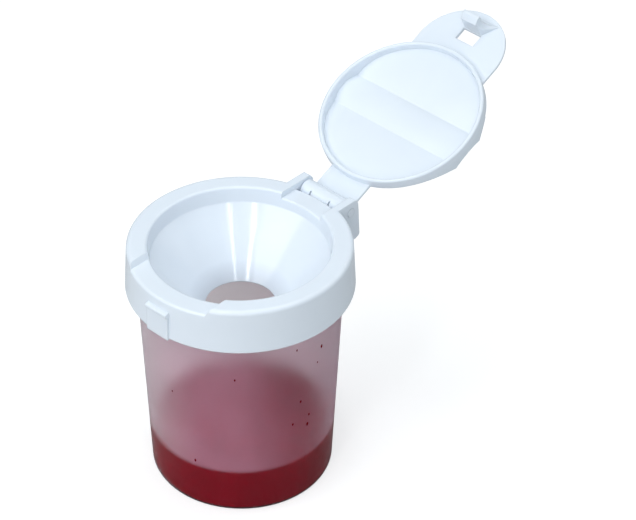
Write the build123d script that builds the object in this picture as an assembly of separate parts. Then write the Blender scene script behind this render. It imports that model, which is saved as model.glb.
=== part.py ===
from build123d import *
import math
import os

# A lidded paint cup: a tapered cup, a screw lid whose mouth is a funnel, and a
# flip cap that swings on the lid's hinge and plugs the funnel. Millimetres.
# The origin is the centre of the base, +Z is up, +Y points to the hinge and -Y
# to the latch. The cap is drawn open, leaning back on its stop.

overrun = 5.0                # how far a cut runs past what it cuts

# Cup
cup_height = 88.65           # base to rim
cup_rim_r = 35.5             # outer radius at the rim
cup_draft = 4.2              # how much smaller the radius is at the base
cup_wall = 1.2
cup_floor = 1.5
base_rounding = 2.5
rim_rounding = 0.35
foot_ring_width = 2.2        # flat ring that the cup stands on
foot_relief = 0.5            # depth of the groove inside that ring
gate_land_r = 9.0            # flat land in the middle of the base
bead_stand = 1.0             # bead under the thread, past the rim's radius
bead_height = 1.4
bead_below_rim = 9.8

# Paint left in the cup
paint_level = 16.75          # above the base
paint_gap = 0.1              # the fill stops this short of the plastic
meniscus = 0.6               # how far the edge of the paint creeps up the wall

# Lid: skirt, ring and funnel in one moulding
lid_gap = 0.3                # cup rim to the seat in the lid
rim_cover = 2.5              # outer radius at the top, past the cup's rim
skirt_flare = 0.85           # how much wider the skirt is at the bottom
skirt_height = 16.4
skirt_wall = 1.5
skirt_lip_r = 0.4
top_wall = 1.6
outer_edge_r = 1.55
mouth_edge_r = 0.9
ring_width = 6.9             # outer radius to the mouth's wall
mouth_draft = 0.9            # how much narrower the mouth is where the cone starts
mouth_depth = 5.6
funnel_hole_r = 11.6
funnel_depth = 26.2          # lid top to the funnel's hole
funnel_wall = 1.3
cone_blend_r = 0.7           # blend from the mouth wall into the cone
hole_lip_r = 0.3
seat_width = 1.5
plug_gap = 0.3               # sealing lip to the inside of the cup
plug_wall = 0.9
plug_length = 3.4

# Pockets across the ring, one for the cap's arm and one for its tab
pocket_depth = 2.2
pocket_floor = 1.3
pocket_mouth_r = 0.7         # rounding of a pocket's floor into the mouth
pocket_outer_r = 1.0         # the same at the skirt
tab_pocket_gap = 0.3         # side of the tab to the side of its pocket
tab_pocket_lean = 0.9        # how much wider each side is at the top

# Hinge: two ears on the lid carry the cap's two pins
hinge_stand = 2.75           # axis outside the skirt's bottom edge
hinge_drop = 4.2             # axis below the lid top
ear_gap = 0.3                # ear to the side of the arm
ear_thickness = 2.8
ear_top_reach = 2.3          # outer end of the flat top, past the axis
ear_nose_reach = 3.6
ear_nose_drop = 1.9
ear_foot_reach = 4.5
ear_foot_rise = 0.8          # outer foot above the bottom of the skirt
ear_corner_r = 1.3
pin_r = 1.6
pin_clearance = 0.05
pin_stand = 0.15             # pin end proud of the ear

# Latch lug on the skirt, opposite the hinge
lug_half = 4.8
lug_stand = 0.25             # pad proud of the skirt's bottom edge
lug_overhang = 0.35          # pad below the skirt's bottom edge
ledge_reach = 0.95           # ledge past the skirt's bottom edge
ledge_drop = 5.5             # ledge below the lid top, where it leaves the skirt
ledge_slope = 0.7
ledge_lip = 1.1
ledge_edge_r = 0.4

# Flip cap: plate, dish and plug ring
open_angle = 154.94          # from closed
plate_drop = 1.9             # closed: inner face of the plate below the lid top
plate = 1.2
plug_ring_gap = 0.4          # plug ring to the mouth's wall
dish_wall = 1.15
plug_ring_height = 2.6
plug_ring_wall = 1.5
plug_ring_draft = 0.15
plug_ring_rounding = 0.7
ridge_u = 6.5                # two ridges across the back, this far from the middle
ridge_height = 3.7           # ridge to the plate's inner face
groove_height = 2.0          # the same in the middle of the groove between them
tab_slope_inset = 15.3       # the slope on the tab's side ends this far inside the rim
tab_slope_step = 0.5
dish_slope_inset = 10.8      # the same slope, inside the dish
arm_slope_inset = 5.8
plate_edge_r = 0.35

# Flip cap: tab with its window and hook
tab_r = 17.2
tab_overhang = 9.8           # tip of the tab past the skirt
window_back = 13.5           # near edge of the window to the tip of the tab
window_length = 4.95
window_side = 0.5            # hook to the side of the window
hook_half = 3.5
hook_height = 7.6
barb_height = 5.6            # catch above the plate's inner face
barb_depth = 0.35
barb_clearance = 0.15        # barb to the ledge
barb_land = 0.5
hook_tip = 1.2               # thickness of the hook at its tip
hook_ramp = 1.9
hook_back_spread = 3.2
gusset_spread = 4.0
hook_hollow = 0.4            # share by which its back and sides are hollow

# Flip cap: arm, barrel with its pins, and stop heel
arm_half = 8.9
knuckle_width = 4.3          # each end of the barrel, outside the slots
barrel_edge_r = 0.5
barrel_gap = 0.25            # barrel to the hollow in the skirt
arm_slot = 0.6               # slot between each knuckle and the heel
slot_stop = 1.2              # slots end this far short of the axis
heel_rise = 1.4              # heel above the plate's inner face
heel_gap = 0.3               # heel to the skirt with the cap fully open
heel_corner_r = 0.5

# Radii, heights and places that follow
cup_base_r = cup_rim_r - cup_draft
bead_r = cup_rim_r + bead_stand
ring_r = cup_rim_r + rim_cover
skirt_r = ring_r + skirt_flare
mouth_top_r = ring_r - ring_width
mouth_low_r = mouth_top_r - mouth_draft
ledge_r = skirt_r + ledge_reach
hinge_y = skirt_r + hinge_stand
cap_r = mouth_low_r - plug_ring_gap
tab_reach = skirt_r + tab_overhang
window_start = tab_reach - window_back
tab_slope_end = cap_r - tab_slope_inset
dish_slope_end = cap_r - dish_slope_inset
arm_slope_end = cap_r - arm_slope_inset
lid_top = cup_height + lid_gap + pocket_floor + pocket_depth
skirt_bottom = lid_top - skirt_height
hinge_z = lid_top - hinge_drop
seat_drop = pocket_depth + pocket_floor
axis_rise = hinge_drop - plate_drop
barrel_r = axis_rise + plate
ear_half = arm_half + ear_gap
barb_u = ledge_r + barb_clearance
cup_taper = cup_draft / cup_height
cup_slant = math.hypot(1, cup_taper)


def cup_outer_r(z):
    return cup_base_r + cup_taper * z


def cup_inner_r(z, wall=cup_wall):
    return cup_outer_r(z) - wall * cup_slant


def skirt_outer_r(drop):
    return ring_r + skirt_flare * drop / skirt_height


def turned(points):
    """A closed outline of (radius, height) points, turned about the Z axis."""
    return revolve(make_face(Polyline(*[(r, 0, z) for r, z in points], close=True)), Axis.Z)


def slab(points, low_x, high_x):
    """A closed outline of (y, z) points, made thick between two places on X."""
    outline = make_face(Polyline(*[(low_x, y, z) for y, z in points], close=True))
    return extrude(outline, high_x - low_x, dir=(1, 0, 0))


def round_edge(solid, radius, height, rounding):
    """Round the circular edge of a turned solid that lies nearest this radius and height."""
    rings = solid.edges().filter_by(GeomType.CIRCLE)
    nearest = min(rings, key=lambda e: math.hypot(e.radius - radius, e.arc_center.Z - height))
    return fillet(nearest, rounding)


def cup():
    inner_top_r = cup_inner_r(cup_height)
    inner_low_r = cup_inner_r(cup_floor)
    shell = turned([
        (0, 0),
        (cup_base_r, 0),
        (cup_rim_r, cup_height),
        (inner_top_r, cup_height),
        (inner_low_r, cup_floor),
        (0, cup_floor),
    ])
    shell = round_edge(shell, cup_base_r, 0, base_rounding)
    shell = round_edge(shell, inner_low_r, cup_floor, base_rounding - cup_wall)
    shell = round_edge(shell, cup_rim_r, cup_height, rim_rounding)
    shell = round_edge(shell, inner_top_r, cup_height, rim_rounding)
    return shell + neck_bead() - foot_groove()


def neck_bead():
    top = cup_height - bead_below_rim
    root_r = cup_outer_r(top - bead_height) - cup_wall / 2
    slope = (bead_r - root_r) / 2
    return turned([
        (root_r, top + slope),
        (bead_r, top),
        (bead_r, top - bead_height),
        (root_r, top - bead_height - slope),
    ])


def foot_groove():
    outer_r = cup_base_r - base_rounding - foot_ring_width
    return turned([
        (gate_land_r, 0),
        (gate_land_r + foot_relief, foot_relief),
        (outer_r - foot_relief, foot_relief),
        (outer_r, 0),
    ])


def paint():
    low = cup_floor + paint_gap
    wall = cup_wall + paint_gap
    edge_top = paint_level + meniscus
    low_r = cup_inner_r(low, wall)
    fill = turned([
        (0, low),
        (low_r, low),
        (cup_inner_r(edge_top, wall), edge_top),
        (cup_inner_r(paint_level, wall) - meniscus, paint_level),
        (0, paint_level),
    ])
    return round_edge(fill, low_r, low, base_rounding - cup_wall)


def lid_shell():
    """Skirt, ring, mouth, funnel, rim seat and sealing lip as one turned outline."""
    plug_r = cup_inner_r(cup_height) - plug_gap
    seat_r = plug_r + plug_gap + seat_width
    plug_low = seat_drop + plug_length
    cone_fall = (mouth_low_r - funnel_hole_r) / (funnel_depth - mouth_depth)
    cone_wall = funnel_wall * math.hypot(1, cone_fall)
    outline = [
        (ring_r, 0),
        (skirt_r, skirt_height),
        (skirt_r - skirt_wall, skirt_height),
        (skirt_outer_r(top_wall) - skirt_wall, top_wall),
        (seat_r, top_wall),
        (seat_r, seat_drop),
        (plug_r, seat_drop),
        (plug_r - plug_gap, plug_low),
        (plug_r - plug_gap - plug_wall, plug_low),
        (plug_r - plug_wall, top_wall),
        (mouth_top_r + funnel_wall, top_wall),
        (mouth_low_r + cone_wall, mouth_depth),
        (funnel_hole_r + cone_wall, funnel_depth),
        (funnel_hole_r, funnel_depth),
        (mouth_low_r, mouth_depth),
        (mouth_top_r, 0),
    ]
    shell = turned([(r, lid_top - drop) for r, drop in outline])
    shell = round_edge(shell, ring_r, lid_top, outer_edge_r)
    shell = round_edge(shell, mouth_top_r, lid_top, mouth_edge_r)
    shell = round_edge(shell, mouth_low_r, lid_top - mouth_depth, cone_blend_r)
    shell = round_edge(shell, mouth_low_r + cone_wall, lid_top - mouth_depth, cone_blend_r)
    shell = round_edge(shell, funnel_hole_r, lid_top - funnel_depth, hole_lip_r)
    shell = round_edge(shell, funnel_hole_r + cone_wall, lid_top - funnel_depth, hole_lip_r)
    return round_edge(shell, skirt_r, skirt_bottom, skirt_lip_r)


def skirt_room():
    """The room inside the skirt, which the roots of ears and lug are kept out of."""
    low = skirt_height + overrun
    return turned([
        (0, lid_top - top_wall),
        (skirt_outer_r(top_wall) - skirt_wall, lid_top - top_wall),
        (skirt_outer_r(low) - skirt_wall, lid_top - low),
        (0, lid_top - low),
    ])


def round_arcs(solid, radius, height, rounding):
    """Round the arcs about the Z axis that lie at this radius and height."""
    near = [e for e in solid.edges().filter_by(GeomType.CIRCLE)
            if math.hypot(e.radius - radius, e.arc_center.Z - height) < rounding / 4
            and math.hypot(e.arc_center.X, e.arc_center.Y) < rounding]
    return fillet(near, rounding)


def ear():
    """The right ear: a tall flange up the skirt, level with the top of the ring."""
    root_y = ring_r - 2 * skirt_wall
    foot = skirt_bottom + ear_foot_rise
    flange = slab([
        (root_y, lid_top),
        (hinge_y + ear_top_reach, lid_top),
        (hinge_y + ear_nose_reach, lid_top - ear_nose_drop),
        (hinge_y + ear_foot_reach, foot),
        (hinge_y + ear_top_reach, skirt_bottom),
        (root_y, skirt_bottom),
    ], ear_half, ear_half + ear_thickness)
    across = flange.edges().filter_by(Axis.X).sort_by(Axis.Y)
    return fillet(across[2:], ear_corner_r)


def latch_lug():
    """A pad down the skirt under the sloping ledge that the cap's hook catches."""
    root_y = skirt_wall / 2 - ring_r
    pad_y = -skirt_r - lug_stand
    ledge_top = lid_top - ledge_drop - ledge_slope
    ledge_low = ledge_top - ledge_lip
    pad_low = skirt_bottom - lug_overhang
    lug = slab([
        (root_y, lid_top - ledge_drop),
        (-ledge_r, ledge_top),
        (-ledge_r, ledge_low),
        (pad_y, ledge_low - ledge_lip / 4),
        (pad_y, pad_low),
        (root_y - skirt_wall / 2, pad_low),
        (root_y, skirt_bottom + skirt_wall),
    ], -lug_half, lug_half)
    return fillet(lug.edges().filter_by(Axis.X).sort_by(Axis.Y)[:2], ledge_edge_r)


def pocket_tray(half, side):
    """The floor and ends of a pocket, hung from the ring between mouth and skirt."""
    outer_r = skirt_outer_r(seat_drop) - skirt_wall / 2
    band = turned([
        (mouth_top_r, lid_top - seat_drop),
        (outer_r, lid_top - seat_drop),
        (outer_r, lid_top - top_wall / 2),
        (mouth_top_r, lid_top - top_wall / 2),
    ])
    width = 2 * (half + tab_pocket_lean + pocket_floor)
    return band & Pos(0, side * ring_r, lid_top) * Box(width, ring_r, 2 * seat_drop + overrun)


def pocket(half, lean, side):
    """The channel across the ring that an arm or a tab lies in."""
    rise = overrun / pocket_depth
    section = make_face(Polyline(
        (-half, 0, lid_top - pocket_depth),
        (half, 0, lid_top - pocket_depth),
        (half + lean * (1 + rise), 0, lid_top + overrun),
        (-half - lean * (1 + rise), 0, lid_top + overrun),
        close=True))
    inside = funnel_hole_r
    return Pos(0, side * inside, 0) * extrude(section, skirt_r + 2 * overrun - inside, dir=(0, side, 0))


def lid():
    outside = ear() + mirror(ear(), Plane.YZ) + latch_lug() - skirt_room()
    body = lid_shell() + outside
    tab_half = tab_r + tab_pocket_gap
    body = body + pocket_tray(tab_half, -1) + pocket_tray(ear_half, 1)
    body = body - pocket(tab_half, tab_pocket_lean, -1) - pocket(ear_half, 0, 1)
    low = lid_top - pocket_depth
    body = round_arcs(body, mouth_top_r - mouth_draft * pocket_depth / mouth_depth, low, pocket_mouth_r)
    body = round_arcs(body, skirt_outer_r(pocket_depth), low, pocket_outer_r)
    bore = Cylinder(pin_r + pin_clearance, 2 * (ear_half + ear_thickness + overrun))
    hollow = Cylinder(barrel_r + barrel_gap, 2 * ear_half)
    return body - Pos(0, hinge_y, hinge_z) * Rot(0, 90, 0) * (bore + hollow)


# The cap is drawn flat, its plate's inner face up at z = 0, its middle at the
# origin, the tab towards +Y and the hinge axis at y = -hinge_y.


def cap_plate():
    """Round plate, tab and arm in one thickness, with eased edges."""
    tab_centre = tab_reach - tab_r
    outline = Circle(cap_r) + Pos(0, tab_centre) * Circle(tab_r)
    outline += Pos(0, tab_centre / 2) * Rectangle(2 * tab_r, tab_centre)
    outline += Pos(0, -hinge_y / 2) * Rectangle(2 * arm_half, hinge_y)
    sheet = extrude(outline, -plate)
    return fillet(sheet.edges().group_by(Axis.Z)[0] + sheet.edges().group_by(Axis.Z)[-1], plate_edge_r)


def ridge_form(ridge_z, groove_z, tab_end, tab_z, arm_z, top_z):
    """Slope, ridge, groove, ridge, slope: a section up to top_z, across the whole cap."""
    tab_slope = TangentArc((0, tab_end, tab_z), (0, ridge_u, ridge_z), tangent=(0, -1, 0))
    groove = ThreePointArc((0, ridge_u, ridge_z), (0, 0, groove_z), (0, -ridge_u, ridge_z))
    arm_slope = TangentArc((0, -arm_slope_end, arm_z), (0, -ridge_u, ridge_z), tangent=(0, 1, 0))
    rest = Polyline((0, -arm_slope_end, arm_z), (0, -arm_slope_end, top_z), (0, tab_end, top_z), (0, tab_end, tab_z))
    section = make_face([tab_slope, groove, arm_slope, *rest.edges()])
    return extrude(section, cap_r + overrun, dir=(1, 0, 0), both=True)


def disc(radius, low, high):
    return Pos(0, 0, (low + high) / 2) * Cylinder(radius, high - low)


def dish_and_ring():
    """The ridged dish under the plate, and the ring that plugs the funnel's mouth."""
    back = ridge_form(-ridge_height, -groove_height, tab_slope_end,
                      -plate - tab_slope_step, -plate, 0)
    back = back & disc(cap_r, -ridge_height - overrun, 0)
    inner_r = cap_r - plug_ring_draft - plug_ring_wall
    ring = turned([
        (inner_r, -plate),
        (cap_r, -plate),
        (cap_r, 0),
        (cap_r - plug_ring_draft, plug_ring_height),
        (inner_r, plug_ring_height),
    ])
    ring = round_edge(ring, cap_r - plug_ring_draft, plug_ring_height, plug_ring_rounding)
    ring = round_edge(ring, inner_r, plug_ring_height, plug_ring_rounding)
    hollow = ridge_form(dish_wall - ridge_height, dish_wall - groove_height, dish_slope_end,
                        0, 0, plug_ring_height)
    return back, ring, hollow & disc(inner_r, -ridge_height, plug_ring_height)


def hollow_arc(start, end, corner):
    """An arc between two points that is hollow towards the corner between them."""
    middles = [(first + last) / 2 for first, last in zip(start, end)]
    through = [mid + (at - mid) * hook_hollow for mid, at in zip(middles, corner)]
    return ThreePointArc(start, tuple(through), end)


def hook():
    """The snap hook on the tab: barb over the window, ramp to its tip, fanned back."""
    shaft_u = barb_u + barb_depth
    tip_u = barb_u + hook_ramp
    back_u = tip_u + hook_tip
    foot_u = back_u + hook_back_spread
    foot_x = hook_half + gusset_spread
    front = Polyline(
        (0, foot_u, 0),
        (0, foot_u, -plate / 2),
        (0, shaft_u, -plate / 2),
        (0, shaft_u, barb_height - barb_depth / 2),
        (0, barb_u, barb_height),
        (0, barb_u, barb_height + barb_land),
        (0, tip_u, hook_height),
        (0, back_u, hook_height))
    back = hollow_arc((0, back_u, hook_height), (0, foot_u, 0), (0, back_u, 0))
    profile = extrude(make_face([*front.edges(), back]), foot_x, dir=(1, 0, 0), both=True)
    flanks = [hollow_arc((side * hook_half, 0, hook_height), (side * foot_x, 0, 0), (side * hook_half, 0, 0))
              for side in (-1, 1)]
    top = Line((-hook_half, 0, hook_height), (hook_half, 0, hook_height))
    base = Polyline((-foot_x, 0, 0), (-foot_x, 0, -plate), (foot_x, 0, -plate), (foot_x, 0, 0))
    flared = extrude(make_face([*flanks, top, *base.edges()]), foot_u, dir=(0, 1, 0))
    fan = make_face(Polyline(
        (-hook_half, barb_u, -plate),
        (hook_half, barb_u, -plate),
        (foot_x, foot_u, -plate),
        (-foot_x, foot_u, -plate),
        close=True))
    return profile & flared & extrude(fan, plate + hook_height, dir=(0, 0, 1))


def heel_reach():
    """How far the heel stands past the hinge axis, so that it just clears the skirt."""
    lean = math.radians(180 - open_angle)
    level = axis_rise - heel_rise
    room = hinge_y - skirt_outer_r(hinge_drop + barrel_r) - heel_gap
    return (room + level * math.sin(lean)) / math.cos(lean)


def heel():
    """The block under the barrel that stops the cap against the skirt."""
    far_y = -hinge_y - heel_reach()
    half = arm_half - knuckle_width - arm_slot
    block = slab([
        (-hinge_y, -plate),
        (-hinge_y, heel_rise),
        (far_y, heel_rise),
        (far_y, -plate),
    ], -half, half)
    return fillet(block.edges().filter_by(Axis.X).sort_by(Axis.Y)[:2], heel_corner_r)


def arm_end():
    """A barrel with a pin at each end, slotted on either side of the heel."""
    barrel = Cylinder(barrel_r, 2 * arm_half)
    barrel = fillet(barrel.edges().filter_by(GeomType.CIRCLE), barrel_edge_r)
    pins = Cylinder(pin_r, 2 * (ear_half + ear_thickness + pin_stand))
    parts = Pos(0, -hinge_y, axis_rise) * Rot(0, 90, 0) * (barrel + pins)
    slot = Box(arm_slot, 2 * barrel_r, 2 * (barrel_r + overrun))
    slot_x = arm_half - knuckle_width - arm_slot / 2
    for side in (-1, 1):
        parts = parts - Pos(side * slot_x, -hinge_y - slot_stop - barrel_r, axis_rise) * slot
    return parts + heel()


def flip_cap():
    back, ring, hollow = dish_and_ring()
    body = cap_plate() + back + ring - hollow
    window = Box(2 * (hook_half + window_side), window_length, 2 * plate + overrun)
    body = body - Pos(0, window_start + window_length / 2, -plate / 2) * window
    return body + hook() + arm_end()


def opened(flat_cap):
    """The flat cap turned from closed to fully open about the hinge axis."""
    turn = math.radians(open_angle)
    ahead = Vector(0, -math.cos(turn), math.sin(turn))
    inner = Vector(0, -math.sin(turn), -math.cos(turn))
    middle = Vector(0, hinge_y, hinge_z) + ahead * hinge_y - inner * axis_rise
    return Plane(origin=middle, x_dir=(1, 0, 0), z_dir=inner).location * flat_cap


nodes = {
    "cup": cup(),
    "paint": paint(),
    "lid": lid(),
    "flip_cap": opened(flip_cap()),
}

os.makedirs("parts", exist_ok=True)
for name, solid in nodes.items():
    export_step(solid, f"parts/{name}.step")
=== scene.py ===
import math

import bmesh
import bpy
from mathutils import Matrix, Vector


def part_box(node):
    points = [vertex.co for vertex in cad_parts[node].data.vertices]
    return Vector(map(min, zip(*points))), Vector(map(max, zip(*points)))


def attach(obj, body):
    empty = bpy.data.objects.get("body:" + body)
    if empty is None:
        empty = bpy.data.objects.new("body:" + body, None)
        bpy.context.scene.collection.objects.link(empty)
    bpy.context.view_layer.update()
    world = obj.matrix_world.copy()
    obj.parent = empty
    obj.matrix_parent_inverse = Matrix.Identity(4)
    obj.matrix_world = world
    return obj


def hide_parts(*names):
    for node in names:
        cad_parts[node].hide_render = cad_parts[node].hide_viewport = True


bl_info = {
    "name": "Paint cup with funnel lid",
    "version": (1, 0, 0),
    "blender": (4, 5, 0),
    "location": "3D View > Sidebar > Paint Cup",
    "description": "Dresses a frosted paint cup, its funnel lid and its flip cap",
    "category": "Object",
}

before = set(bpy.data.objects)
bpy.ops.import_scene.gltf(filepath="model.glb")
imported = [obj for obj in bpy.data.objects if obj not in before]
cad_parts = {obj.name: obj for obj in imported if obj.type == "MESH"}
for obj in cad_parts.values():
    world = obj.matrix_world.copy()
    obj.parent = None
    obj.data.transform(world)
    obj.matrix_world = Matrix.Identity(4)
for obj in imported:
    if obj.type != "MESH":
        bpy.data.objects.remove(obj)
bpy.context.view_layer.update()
CUP_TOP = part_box("cup")[1].z
LID_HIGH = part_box("lid")[1]
SKIRT_R, LID_TOP = LID_HIGH.x, LID_HIGH.z
PAINT_BOTTOM, PAINT_TOP = (corner.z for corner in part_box("paint"))
MM = 0.001


# Radii and walls of the cup and the lid, as the frame has them.

CUP_BASE_R = 31.3 * MM
CUP_RIM_R = 35.5 * MM
CUP_WALL = 1.2 * MM
SKIRT_WALL = 1.5 * MM
FUNNEL_HOLE_R = 11.6 * MM

# The lid's mould is polished inside this radius, about that of the funnel's mouth.

POLISHED_R = 31.0 * MM


def cup_outer_r(z):
    return CUP_BASE_R + (CUP_RIM_R - CUP_BASE_R) * z / CUP_TOP


def cup_inner_r(z):
    return cup_outer_r(z) - CUP_WALL


# Drops of paint dried on the wall: degrees round from the latch, height above the base, width.

SPECKS = (
    (77, 69.5 * MM, 0.6 * MM),
    (96, 65 * MM, 1.0 * MM),
    (93, 59 * MM, 0.5 * MM),
    (81, 45.5 * MM, 0.8 * MM),
    (88, 37.5 * MM, 0.7 * MM),
    (87, 33.5 * MM, 1.0 * MM),
    (76, 36.5 * MM, 0.7 * MM),
    (41, 61 * MM, 0.6 * MM),
    (15, 21 * MM, 0.8 * MM),
    (1, 48.5 * MM, 0.5 * MM),
)


class LidLook(bpy.types.PropertyGroup):
    colour: bpy.props.FloatVectorProperty(
        name="White", description="Cool white of the lid and the flip cap",
        subtype="COLOR", size=3, min=0, max=1, default=(0.80, 0.865, 0.945))
    roughness: bpy.props.FloatProperty(
        name="Roughness", description="Gloss of the moulded white plastic",
        subtype="FACTOR", min=0, max=1, default=0.26)
    inner_roughness: bpy.props.FloatProperty(
        name="Funnel roughness", description="Gloss inside the ring, where the mould is polished",
        subtype="FACTOR", min=0, max=1, default=0.14)
    edge_ease: bpy.props.FloatProperty(
        name="Eased edges", description="Radius over which sharp edges catch the light",
        subtype="DISTANCE", unit="LENGTH", min=0, max=0.002, default=0.35 * MM)


class CupLook(bpy.types.PropertyGroup):
    colour: bpy.props.FloatVectorProperty(
        name="Frosted body", description="Milky grey of the cup's plastic",
        subtype="COLOR", size=3, min=0, max=1, default=(0.97, 0.92, 0.94))
    film: bpy.props.FloatVectorProperty(
        name="Paint film", description="Rose of the thin film of paint dried on the wall above the level",
        subtype="COLOR", size=3, min=0, max=1, default=(0.72, 0.38, 0.51))
    # Painted light: a paler film colour on the -X side, where the key lamp falls on the cup.
    film_lit_side: bpy.props.FloatVectorProperty(
        name="Paler film", description="Colour of the film on the side of the cup where it is milky",
        subtype="COLOR", size=3, min=0, max=1, default=(0.90, 0.82, 0.84))
    film_share: bpy.props.FloatProperty(
        name="Film share", description="How much of the wall the dried film hides just above the paint",
        subtype="FACTOR", min=0, max=1, default=0.31)
    passed: bpy.props.FloatVectorProperty(
        name="Light passed", description="Share of the lamps' light that one face of the wall lets in",
        subtype="COLOR", size=3, min=0, max=1, default=(0.81, 0.78, 0.79))
    clearness: bpy.props.FloatProperty(
        name="Clearness", description="Share of the light that the wall lets through",
        subtype="FACTOR", min=0, max=1, default=1.0)
    roughness: bpy.props.FloatProperty(
        name="Frosting", description="How much the wall blurs what is behind it",
        subtype="FACTOR", min=0, max=1, default=0.32)


class PaintLook(bpy.types.PropertyGroup):
    colour: bpy.props.FloatVectorProperty(
        name="Paint", description="Deep red of the paint",
        subtype="COLOR", size=3, min=0, max=1, default=(0.21, 0.003, 0.012))
    wetting: bpy.props.FloatProperty(
        name="Wetting", description="How far the paint reaches into the wall, so that it shows crisply",
        subtype="DISTANCE", unit="LENGTH", min=0.00005, max=0.0005, default=0.3 * MM)
    creep: bpy.props.FloatProperty(
        name="Creep", description="How far the paint has run up the wall on the latch's side",
        subtype="DISTANCE", unit="LENGTH", min=0, max=0.003, default=1.8 * MM)


class ThreadLook(bpy.types.PropertyGroup):
    pitch: bpy.props.FloatProperty(
        name="Pitch", description="Rise of the screw thread in one turn",
        subtype="DISTANCE", unit="LENGTH", min=0.002, max=0.006, default=4 * MM)
    turns: bpy.props.FloatProperty(
        name="Turns", description="Length of each thread in turns round the neck",
        min=0.5, max=1.6, default=1.25)
    stand: bpy.props.FloatProperty(
        name="Stand", description="How far the thread stands out from the cup's neck",
        subtype="DISTANCE", unit="LENGTH", min=0.0004, max=0.0012, default=0.85 * MM)


class StudioLook(bpy.types.PropertyGroup):
    key: bpy.props.FloatProperty(
        name="Key", description="Power of the large lamp on the left",
        unit="POWER", min=0, default=4.9)
    top: bpy.props.FloatProperty(
        name="Top", description="Power of the lamp overhead",
        unit="POWER", min=0, default=3.5)
    front: bpy.props.FloatProperty(
        name="Front", description="Power of the low lamp beside the camera",
        unit="POWER", min=0, default=2.5)
    back: bpy.props.FloatProperty(
        name="Back", description="Power of the lamp behind the hinge",
        unit="POWER", min=0, default=1.7)
    window: bpy.props.FloatProperty(
        name="Windows", description="Power of the left narrow lamp, twice that of the right one",
        unit="POWER", min=0, default=1.6)
    ambient: bpy.props.FloatProperty(
        name="Ambient", description="Strength of the light from all round",
        min=0, max=2, default=0.30)
    floor: bpy.props.FloatProperty(
        name="Floor", description="Share of the light that the pale floor throws back",
        subtype="FACTOR", min=0, max=1, default=0.6)
    floor_glow: bpy.props.FloatProperty(
        name="Floor glow", description="What the floor adds to be white to the eye",
        min=0, max=1, default=0.56)


def add_material(name):
    """A new node material and its surface shader."""
    material = bpy.data.materials.new(name)
    material.use_nodes = True
    return material, material.node_tree.nodes["Principled BSDF"]


def link(tree, source, target):
    tree.links.new(source, target)


def object_noise(tree, scale, detail=2.0, roughness=0.5):
    """Noise on object coordinates, scale in patches per metre."""
    place = tree.nodes.new("ShaderNodeTexCoord")
    noise = tree.nodes.new("ShaderNodeTexNoise")
    noise.inputs["Scale"].default_value = scale
    noise.inputs["Detail"].default_value = detail
    noise.inputs["Roughness"].default_value = roughness
    link(tree, place.outputs["Object"], noise.inputs["Vector"])
    return noise.outputs["Fac"]


def ramp(tree, source, low, high, low_value, high_value):
    """A value read from a range of another, held at its ends."""
    node = tree.nodes.new("ShaderNodeMapRange")
    node.inputs["From Min"].default_value = low
    node.inputs["From Max"].default_value = high
    node.inputs["To Min"].default_value = low_value
    node.inputs["To Max"].default_value = high_value
    link(tree, source, node.inputs["Value"])
    return node.outputs["Result"]


def distance_from_axis(tree):
    """How far a place lies from the cup's upright axis."""
    place = tree.nodes.new("ShaderNodeTexCoord")
    level = tree.nodes.new("ShaderNodeVectorMath")
    level.operation = "MULTIPLY"
    level.inputs[1].default_value = (1, 1, 0)
    link(tree, place.outputs["Object"], level.inputs[0])
    distance = tree.nodes.new("ShaderNodeVectorMath")
    distance.operation = "LENGTH"
    link(tree, level.outputs[0], distance.inputs[0])
    return distance.outputs["Value"]


def mix_colour(tree, share, first, second):
    """The first colour where the share is 0 and the second where it is 1."""
    node = tree.nodes.new("ShaderNodeMix")
    node.data_type = "RGBA"
    link(tree, share, node.inputs["Factor"])
    colour_a, colour_b, result = node.inputs[6], node.inputs[7], node.outputs[2]
    for socket, value in ((colour_a, first), (colour_b, second)):
        if isinstance(value, bpy.types.NodeSocket):
            link(tree, value, socket)
        else:
            socket.default_value = (*value, 1)
    return result


def moulded_white(name, look):
    """Faintly translucent white plastic, glossy and slightly wavy in the funnel, with painted shade that
    greys it near its hole.
    """
    material, shader = add_material(name)
    tree = material.node_tree
    away = distance_from_axis(tree)
    mouth = (POLISHED_R - 0.5 * MM, POLISHED_R + 0.5 * MM)
    tone = ramp(tree, object_noise(tree, 38, 3.0), 0.35, 0.65, 0, 1)
    # Painted shade: the white darkens to 0.72 towards the funnel's hole, standing in for the dark inside
    # seen through the thin wall.
    painted_hole_shade = ramp(tree, away, FUNNEL_HOLE_R - 0.6 * MM, FUNNEL_HOLE_R + 5.4 * MM, 1, 0)
    colour = mix_colour(tree, tone, look.colour, [c * 0.975 for c in look.colour])
    colour = mix_colour(tree, painted_hole_shade, colour, [c * 0.72 for c in look.colour])
    link(tree, colour, shader.inputs["Base Color"])
    gloss = ramp(tree, away, *mouth, look.inner_roughness, look.roughness)
    link(tree, gloss, shader.inputs["Roughness"])
    shader.inputs["IOR"].default_value = 1.49
    shader.inputs["Subsurface Weight"].default_value = 0.25
    shader.inputs["Subsurface Radius"].default_value = (1.0, 1.0, 1.0)
    shader.inputs["Subsurface Scale"].default_value = 1.5 * MM
    eased = tree.nodes.new("ShaderNodeBevel")
    eased.samples = 6
    eased.inputs["Radius"].default_value = look.edge_ease
    bump = tree.nodes.new("ShaderNodeBump")
    bump.inputs["Distance"].default_value = 0.6 * MM
    link(tree, ramp(tree, away, *mouth, 0.3, 0.05), bump.inputs["Strength"])
    link(tree, object_noise(tree, 120, 1.0), bump.inputs["Height"])
    link(tree, eased.outputs["Normal"], bump.inputs["Normal"])
    link(tree, bump.outputs["Normal"], shader.inputs["Normal"])
    return material


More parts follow.
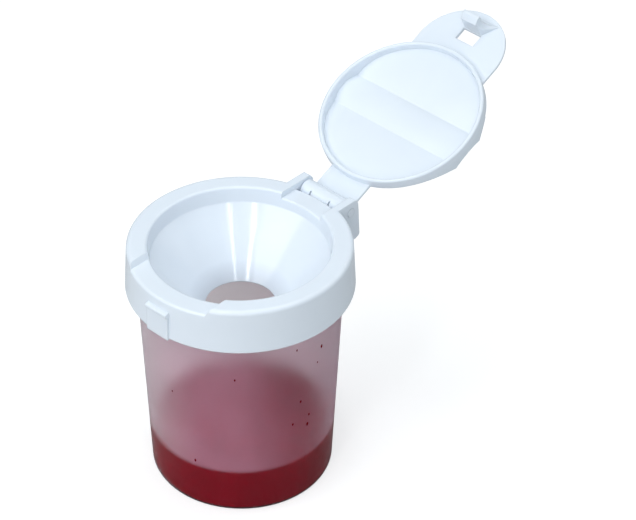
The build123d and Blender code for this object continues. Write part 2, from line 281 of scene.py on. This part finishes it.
def frosted_cup(look):
    """See-through plastic that blurs what lies behind it, and lets the lamps through."""
    material, shader = add_material("frosted cup plastic")
    tree = material.node_tree
    tone = ramp(tree, object_noise(tree, 45, 5.0, 0.6), 0.25, 0.75, 0, 1)
    colour = mix_colour(tree, tone, look.colour, [c * 0.94 for c in look.colour])
    link(tree, colour, shader.inputs["Base Color"])
    patches = object_noise(tree, 130, 4.0, 0.6)
    haze = ramp(tree, patches, 0.3, 0.7, look.roughness - 0.04, look.roughness + 0.06)
    link(tree, haze, shader.inputs["Roughness"])
    shader.inputs["IOR"].default_value = 1.15
    shader.inputs["Transmission Weight"].default_value = look.clearness
    bump = tree.nodes.new("ShaderNodeBump")
    bump.inputs["Strength"].default_value = 0.12
    bump.inputs["Distance"].default_value = 0.1 * MM
    link(tree, object_noise(tree, 400, 3.0), bump.inputs["Height"])
    link(tree, bump.outputs["Normal"], shader.inputs["Normal"])
    let_lamps_through(tree, dried_film(tree, shader, look), look.passed)
    return material


def dried_film(tree, shader, look):
    """A patchy film of paint over the wall above the level, with painted light across it: paler towards
    -X, where the key lamp falls, and thinner towards +X.
    """
    place = tree.nodes.new("ShaderNodeTexCoord")
    parts = tree.nodes.new("ShaderNodeSeparateXYZ")
    link(tree, place.outputs["Object"], parts.inputs[0])
    aside, height = parts.outputs["X"], parts.outputs["Z"]
    share = ramp(tree, height, PAINT_TOP + 0.4 * MM, PAINT_TOP + 1.6 * MM, 0, look.film_share)
    fades = ramp(tree, height, 20 * MM, 80 * MM, 0.78, 0.66)
    patches = ramp(tree, object_noise(tree, 55, 3.0), 0.3, 0.7, 0.8, 1.1)
    # Painted light and shade: the film is thinned towards +X, so the cup is less hazy on the side away
    # from the key lamp.
    sides = ramp(tree, aside, 24 * MM, 34 * MM, 1, 0.25)
    for layer in (fades, patches, sides):
        product = tree.nodes.new("ShaderNodeMath")
        product.operation = "MULTIPLY"
        link(tree, share, product.inputs[0])
        link(tree, layer, product.inputs[1])
        share = product.outputs[0]
    film = tree.nodes.new("ShaderNodeBsdfDiffuse")
    # Painted light: the film turns paler towards -X, the side the key lamp lights.
    pale = ramp(tree, aside, -28 * MM, 10 * MM, 1, 0)
    link(tree, mix_colour(tree, pale, look.film, look.film_lit_side), film.inputs["Color"])
    coated = tree.nodes.new("ShaderNodeMixShader")
    link(tree, share, coated.inputs["Fac"])
    link(tree, shader.outputs[0], coated.inputs[1])
    link(tree, film.outputs[0], coated.inputs[2])
    return coated


def let_lamps_through(tree, shader, passed):
    """Rays from the lamps pass this material, so what it encloses is lit."""
    path = tree.nodes.new("ShaderNodeLightPath")
    clear = tree.nodes.new("ShaderNodeBsdfTransparent")
    clear.inputs["Color"].default_value = (*passed, 1)
    chosen = tree.nodes.new("ShaderNodeMixShader")
    link(tree, path.outputs["Is Shadow Ray"], chosen.inputs["Fac"])
    link(tree, shader.outputs[0], chosen.inputs[1])
    link(tree, clear.outputs[0], chosen.inputs[2])
    link(tree, chosen.outputs[0], tree.nodes["Material Output"].inputs["Surface"])


def wet_paint(look):
    """Deep red paint, nearly even, with a weak gloss."""
    material, shader = add_material("red paint")
    tree = material.node_tree
    tone = ramp(tree, object_noise(tree, 70, 3.0), 0.35, 0.65, 0, 1)
    colour = mix_colour(tree, tone, look.colour, [c * 0.85 for c in look.colour])
    link(tree, colour, shader.inputs["Base Color"])
    gloss = ramp(tree, object_noise(tree, 60, 2.0), 0.3, 0.7, 0.20, 0.26)
    link(tree, gloss, shader.inputs["Roughness"])
    shader.inputs["Specular IOR Level"].default_value = 0.08
    return material


def dress(node, material):
    """The CAD node keeps its shape and gets this material."""
    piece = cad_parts[node]
    piece.data.materials.clear()
    piece.data.materials.append(material)


def start_piece(name):
    """A new piece that is one loose point at the origin, open for editing."""
    bpy.ops.object.select_all(action="DESELECT")
    bpy.ops.mesh.primitive_plane_add(size=MM, location=(0, 0, 0))
    piece = bpy.context.active_object
    piece.name = piece.data.name = name
    bpy.ops.object.mode_set(mode="EDIT")
    bpy.ops.mesh.select_mode(type="VERT")
    bpy.ops.mesh.select_all(action="SELECT")
    bpy.ops.mesh.merge(type="CENTER")
    return piece


def draw_outline(outline):
    """Run the loose point along an outline of (radius, height) places."""
    first_r, first_z = outline[0]
    bpy.ops.transform.translate(value=(first_r, 0, first_z))
    for (from_r, from_z), (to_r, to_z) in zip(outline, outline[1:]):
        step = (to_r - from_r, 0, to_z - from_z)
        bpy.ops.mesh.extrude_vertices_move(TRANSFORM_OT_translate={"value": step})
    bpy.ops.mesh.select_all(action="SELECT")


def tidy_surface():
    """Merge doubles and turn all faces outwards."""
    bpy.ops.mesh.select_all(action="SELECT")
    bpy.ops.mesh.remove_doubles(threshold=MM / 1000)
    bpy.ops.mesh.normals_make_consistent(inside=False)


def finish_piece(piece, material, body):
    """Close editing, smooth all but the sharp edges, dress and seat the piece."""
    bpy.ops.object.mode_set(mode="OBJECT")
    bpy.ops.object.shade_smooth_by_angle(angle=math.radians(40))
    piece.data.materials.clear()
    piece.data.materials.append(material)
    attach(piece, body)


def select_points(piece, chosen):
    """Select, in edit mode, the points whose place passes the test."""
    mesh = bmesh.from_edit_mesh(piece.data)
    for point in mesh.verts:
        point.select_set(chosen(point.co))
    mesh.select_flush_mode()
    bmesh.update_edit_mesh(piece.data)


def arc(centre_r, centre_z, radius, start, end, steps):
    """Places on a round corner, angles in degrees from the outward direction."""
    turns = [math.radians(start + (end - start) * step / steps) for step in range(steps + 1)]
    return [(centre_r + radius * math.cos(turn), centre_z + radius * math.sin(turn)) for turn in turns]


class PAINTCUP_OT_camera(bpy.types.Operator):
    """Place the camera where the photograph was taken from"""
    bl_idname = "paintcup.camera"
    bl_label = "Camera"

    def execute(self, context):
        # From a fit to the edges in the photo. The camera aims beside the middle of the lid's top.
        azimuth, tilt, roll = (math.radians(angle) for angle in (43, 37.478, -0.434))
        distance, offset_right, offset_up = 1007.3 * MM, 26.04 * MM, -5.831 * MM
        focal_pixels, photo_pixels = 3023.9, 636
        level = Vector((math.sin(azimuth), -math.cos(azimuth), 0))
        right = Vector((math.cos(azimuth), math.sin(azimuth), 0))
        back = level * math.cos(tilt) + Vector((0, 0, math.sin(tilt)))
        up = Vector((0, 0, math.cos(tilt))) - level * math.sin(tilt)
        place = Vector((0, 0, LID_TOP)) + back * distance + right * offset_right + up * offset_up
        across = right * math.cos(roll) - up * math.sin(roll)
        upright = right * math.sin(roll) + up * math.cos(roll)
        data = bpy.data.cameras.new("studio camera")
        data.sensor_fit = "HORIZONTAL"
        data.sensor_width = 36
        data.lens = data.sensor_width * focal_pixels / photo_pixels
        data.clip_start, data.clip_end = 0.05, 20
        camera = bpy.data.objects.new("studio camera", data)
        context.scene.collection.objects.link(camera)
        turn = Matrix((across, upright, back)).transposed().to_4x4()
        camera.matrix_world = Matrix.Translation(place) @ turn
        context.scene.camera = camera
        return {"FINISHED"}


class PAINTCUP_OT_studio(bpy.types.Operator):
    """Lay the pale floor and hang the soft lamps"""
    bl_idname = "paintcup.studio"
    bl_label = "Studio"

    def execute(self, context):
        look = context.scene.paintcup_studio
        bpy.ops.object.select_all(action="DESELECT")
        bpy.ops.mesh.primitive_plane_add(size=6, location=(0, 0, 0))
        floor = context.active_object
        floor.name = "floor"
        floor.data.materials.append(pale_floor(look))
        # Name, power, width, height, azimuth, elevation and distance.
        hang_lamp("key", look.key, 0.8, 0.8, -20, 48, 1.1)
        hang_lamp("top", look.top, 0.9, 0.9, 180, 82, 1.1)
        hang_lamp("front", look.front, 0.8, 0.5, 35, 20, 1.1)
        hang_lamp("back", look.back, 0.8, 0.8, 160, 35, 1.1)
        hang_lamp("window left", look.window, 0.09, 0.35, 22, 45, 1.2)
        hang_lamp("window right", look.window / 2, 0.04, 0.35, 60, 45, 1.2)
        context.scene.world = soft_room(look)
        context.scene.view_settings.view_transform = "Standard"
        return {"FINISHED"}


def soft_room(look):
    """Bluish light from all round, and plain white to the camera."""
    world = bpy.data.worlds.new("soft room")
    world.use_nodes = True
    tree = world.node_tree
    light = tree.nodes["Background"]
    light.inputs["Color"].default_value = (0.86, 1.0, 1.09, 1)
    light.inputs["Strength"].default_value = look.ambient
    white = tree.nodes.new("ShaderNodeBackground")
    white.inputs["Color"].default_value = (1, 1, 1, 1)
    chosen = tree.nodes.new("ShaderNodeMixShader")
    path = tree.nodes.new("ShaderNodeLightPath")
    link(tree, path.outputs["Is Camera Ray"], chosen.inputs["Fac"])
    link(tree, light.outputs[0], chosen.inputs[1])
    link(tree, white.outputs[0], chosen.inputs[2])
    link(tree, chosen.outputs[0], tree.nodes["World Output"].inputs["Surface"])
    return world


def pale_floor(look):
    """White to the eye, with the object's shadow on it, and a middling grey to the light."""
    material, shader = add_material("pale floor")
    tree = material.node_tree
    shader.inputs["Base Color"].default_value = (look.floor, look.floor, look.floor, 1)
    shader.inputs["Roughness"].default_value = 0.9
    shader.inputs["Specular IOR Level"].default_value = 0.1
    glow = tree.nodes.new("ShaderNodeMath")
    glow.operation = "MULTIPLY"
    path = tree.nodes.new("ShaderNodeLightPath")
    link(tree, path.outputs["Is Camera Ray"], glow.inputs[0])
    link(tree, ramp(tree, distance_from_axis(tree), 0.3, 1.0, look.floor_glow, 1), glow.inputs[1])
    shader.inputs["Emission Color"].default_value = (1, 1, 1, 1)
    link(tree, glow.outputs[0], shader.inputs["Emission Strength"])
    return material


def hang_lamp(name, power, width, height, azimuth, elevation, distance):
    """A soft lamp that faces the lid, in metres and degrees, azimuth 0 in front of the latch."""
    data = bpy.data.lights.new(name, "AREA")
    data.shape, data.size, data.size_y, data.energy = "RECTANGLE", width, height, power
    lamp = bpy.data.objects.new(name, data)
    bpy.context.scene.collection.objects.link(lamp)
    turn, rise = math.radians(azimuth), math.radians(elevation)
    away = Vector((math.sin(turn) * math.cos(rise), -math.cos(turn) * math.cos(rise), math.sin(rise)))
    lamp.location = Vector((0, 0, LID_TOP)) + away * distance
    lamp.rotation_euler = away.to_track_quat("Z", "Y").to_euler()


class PAINTCUP_OT_cup(bpy.types.Operator):
    """Give the cup its frosted plastic"""
    bl_idname = "paintcup.cup"
    bl_label = "Cup"

    def execute(self, context):
        dress("cup", frosted_cup(context.scene.paintcup_cup))
        return {"FINISHED"}


class PAINTCUP_OT_paint(bpy.types.Operator):
    """Pour the paint, wet against the cup's wall"""
    bl_idname = "paintcup.paint"
    bl_label = "Paint"

    def execute(self, context):
        look = context.scene.paintcup_paint
        # The edge of the paint climbs the wall by the lip, and the bottom sinks into the cup's floor.
        lip = 0.6 * MM
        level = PAINT_TOP - lip
        corner = 1.3 * MM
        bottom = PAINT_BOTTOM - 3 * look.wetting
        bottom_r = cup_inner_r(bottom) + look.wetting
        wall_r = cup_inner_r(PAINT_TOP)
        paint = start_piece("red_paint")
        outline = [(0, bottom)]
        outline += arc(bottom_r - corner, bottom + corner, corner, -90, 0, 5)
        outline += [(wall_r + look.wetting, PAINT_TOP)]
        outline += arc(wall_r - 2 * lip, level + lip, lip, 0, -90, 4)
        outline += [((wall_r + look.wetting) / 2, level), (0, level)]
        draw_outline(outline)
        bpy.ops.mesh.spin(steps=128, angle=math.tau, center=(0, 0, 0), axis=(0, 0, 1))
        tidy_surface()
        # The paint has run up highest near the latch, a little towards -X.
        edge = PAINT_TOP - lip / 10
        run_x = -12 * MM
        select_points(paint, lambda place: place.z > edge and place.y < 0 and abs(place.x - run_x) < MM)
        bpy.ops.transform.translate(
            value=(0, 0, look.creep), use_proportional_edit=True, use_proportional_connected=True,
            proportional_edit_falloff="SMOOTH", proportional_size=26 * MM)
        finish_piece(paint, wet_paint(look), "cup")
        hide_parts("paint")
        return {"FINISHED"}


class PAINTCUP_OT_specks(bpy.types.Operator):
    """Splash small dried drops of paint on the outside of the cup"""
    bl_idname = "paintcup.specks"
    bl_label = "Dried specks"

    def execute(self, context):
        bpy.ops.object.select_all(action="DESELECT")
        bpy.ops.mesh.primitive_uv_sphere_add(segments=16, ring_count=8, radius=MM / 2, location=(0, 0, 0))
        model = context.active_object
        bpy.ops.object.mode_set(mode="EDIT")
        bpy.ops.mesh.select_all(action="SELECT")
        bpy.ops.transform.resize(value=(1, 0.5, 1.2))
        select_points(model, lambda place: place.z < -0.5 * MM)
        bpy.ops.transform.translate(
            value=(0, 0, -0.45 * MM), use_proportional_edit=True, use_proportional_connected=True,
            proportional_edit_falloff="SHARP", proportional_size=0.9 * MM)
        bpy.ops.object.mode_set(mode="OBJECT")
        drops = []
        for around, height, width in SPECKS:
            drop = model.copy()
            drop.data = model.data.copy()
            context.collection.objects.link(drop)
            turn = math.radians(around)
            reach = cup_outer_r(height) - 0.1 * MM
            drop.location = (reach * math.sin(turn), -reach * math.cos(turn), height)
            drop.rotation_euler = (0, 0, turn)
            drop.scale = (width / MM, 1, width / MM)
            drops.append(drop)
        bpy.data.objects.remove(model)
        bpy.ops.object.select_all(action="DESELECT")
        for drop in drops:
            drop.select_set(True)
        context.view_layer.objects.active = drops[0]
        bpy.ops.object.transform_apply(location=True, rotation=True, scale=True)
        bpy.ops.object.join()
        specks = context.active_object
        specks.name = specks.data.name = "dried_paint_specks"
        bpy.ops.object.mode_set(mode="EDIT")
        tidy_surface()
        finish_piece(specks, wet_paint(context.scene.paintcup_paint), "cup")
        return {"FINISHED"}


def screw_thread(name, section, turns, pitch):
    """A (radius, height) section run up a helix, with closed ends that run out into the wall."""
    piece = start_piece(name)
    draw_outline([*section, section[0]])
    bpy.ops.mesh.remove_doubles(threshold=MM / 1000)
    bpy.ops.object.mode_set(mode="OBJECT")
    bpy.ops.object.modifier_add(type="SCREW")
    helix = piece.modifiers[-1]
    helix.angle = turns * math.tau
    helix.screw_offset = turns * pitch
    helix.steps = helix.render_steps = round(turns * 120)
    helix.use_merge_vertices = False
    bpy.ops.object.modifier_apply(modifier=helix.name)
    bpy.ops.object.mode_set(mode="EDIT")
    bpy.ops.mesh.select_mode(type="VERT")
    bpy.ops.mesh.select_all(action="DESELECT")
    bpy.ops.mesh.select_non_manifold()
    bpy.ops.mesh.fill_holes(sides=len(section))
    tidy_surface()
    run_out(piece, section, 0, 0)
    run_out(piece, section, turns * math.tau, turns * pitch)
    return piece


def run_out(piece, section, turn, rise):
    """Sink the thread's end at this turn and rise by most of its height, easing over 9 mm."""
    low = min(z for r, z in section) + rise - MM / 10
    high = max(z for r, z in section) + rise + MM / 10
    sink = 0.9 * (section[0][0] - section[1][0])
    end = Vector((math.cos(turn), math.sin(turn), 0))

    def at_end(place):
        level = Vector((place.x, place.y, 0))
        beside = (level - end * level.dot(end)).length
        return beside < MM / 10 and level.dot(end) > 0 and low < place.z < high

    select_points(piece, at_end)
    bpy.ops.transform.translate(
        value=end * sink, use_proportional_edit=True, use_proportional_connected=True,
        proportional_edit_falloff="SMOOTH", proportional_size=9 * MM)


class PAINTCUP_OT_neck_thread(bpy.types.Operator):
    """Run the screw thread round the cup's neck"""
    bl_idname = "paintcup.neck_thread"
    bl_label = "Neck thread"

    def execute(self, context):
        look = context.scene.paintcup_thread
        start = LID_TOP - 11.5 * MM
        root_r = cup_outer_r(start) - 0.1 * MM
        crest_r = cup_outer_r(start) + look.stand
        section = [
            (root_r, start - 1.0 * MM),
            (crest_r, start - 0.45 * MM),
            (crest_r, start + 0.45 * MM),
            (root_r, start + 1.0 * MM),
        ]
        thread = screw_thread("neck_thread", section, look.turns, look.pitch)
        finish_piece(thread, frosted_cup(context.scene.paintcup_cup), "cup")
        return {"FINISHED"}


class PAINTCUP_OT_skirt_thread(bpy.types.Operator):
    """Run the matching thread round the inside of the lid's skirt"""
    bl_idname = "paintcup.skirt_thread"
    bl_label = "Skirt thread"

    def execute(self, context):
        look = context.scene.paintcup_thread
        start = LID_TOP - 12.5 * MM
        # The skirt is a little narrower at its thread than at its foot.
        narrowing = 0.3 * MM
        root_r = SKIRT_R - narrowing - SKIRT_WALL + 0.15 * MM
        crest_r = cup_outer_r(start) + look.stand + 0.5 * MM
        section = [
            (root_r, start + 0.9 * MM),
            (crest_r, start + 0.45 * MM),
            (crest_r, start - 0.45 * MM),
            (root_r, start - 0.9 * MM),
        ]
        thread = screw_thread("skirt_thread", section, look.turns, look.pitch)
        white = moulded_white("white thread plastic", context.scene.paintcup_lid)
        finish_piece(thread, white, "lid")
        return {"FINISHED"}


class PAINTCUP_OT_lid(bpy.types.Operator):
    """Give the lid its white plastic"""
    bl_idname = "paintcup.lid"
    bl_label = "Lid"

    def execute(self, context):
        dress("lid", moulded_white("white lid plastic", context.scene.paintcup_lid))
        return {"FINISHED"}


class PAINTCUP_OT_flip_cap(bpy.types.Operator):
    """Give the flip cap its white plastic"""
    bl_idname = "paintcup.flip_cap"
    bl_label = "Flip cap"

    def execute(self, context):
        dress("flip_cap", moulded_white("white cap plastic", context.scene.paintcup_lid))
        return {"FINISHED"}


class PAINTCUP_PT_panel(bpy.types.Panel):
    """All settings, and a button for each step"""
    bl_idname = "PAINTCUP_PT_panel"
    bl_label = "Paint Cup"
    bl_space_type = "VIEW_3D"
    bl_region_type = "UI"
    bl_category = "Paint Cup"

    def draw(self, context):
        scene = context.scene
        for look, settings in LOOKS.items():
            box = self.layout.box()
            for name in settings.__annotations__:
                box.prop(getattr(scene, look), name)
        for step in STEPS:
            self.layout.operator(step.bl_idname)


LOOKS = {
    "paintcup_lid": LidLook,
    "paintcup_cup": CupLook,
    "paintcup_paint": PaintLook,
    "paintcup_thread": ThreadLook,
    "paintcup_studio": StudioLook,
}
STEPS = (
    PAINTCUP_OT_camera,
    PAINTCUP_OT_studio,
    PAINTCUP_OT_cup,
    PAINTCUP_OT_paint,
    PAINTCUP_OT_specks,
    PAINTCUP_OT_neck_thread,
    PAINTCUP_OT_lid,
    PAINTCUP_OT_skirt_thread,
    PAINTCUP_OT_flip_cap,
)


def register():
    for kind in (*LOOKS.values(), *STEPS, PAINTCUP_PT_panel):
        bpy.utils.register_class(kind)
    for look, settings in LOOKS.items():
        setattr(bpy.types.Scene, look, bpy.props.PointerProperty(type=settings))


def unregister():
    for look in LOOKS:
        delattr(bpy.types.Scene, look)
    for kind in reversed((*LOOKS.values(), *STEPS, PAINTCUP_PT_panel)):
        bpy.utils.unregister_class(kind)


def main():
    register()
    bpy.ops.paintcup.camera()
    bpy.ops.paintcup.studio()
    bpy.ops.paintcup.cup()
    bpy.ops.paintcup.paint()
    bpy.ops.paintcup.specks()
    bpy.ops.paintcup.neck_thread()
    bpy.ops.paintcup.lid()
    bpy.ops.paintcup.skirt_thread()
    bpy.ops.paintcup.flip_cap()


if __name__ == "__main__":
    main()
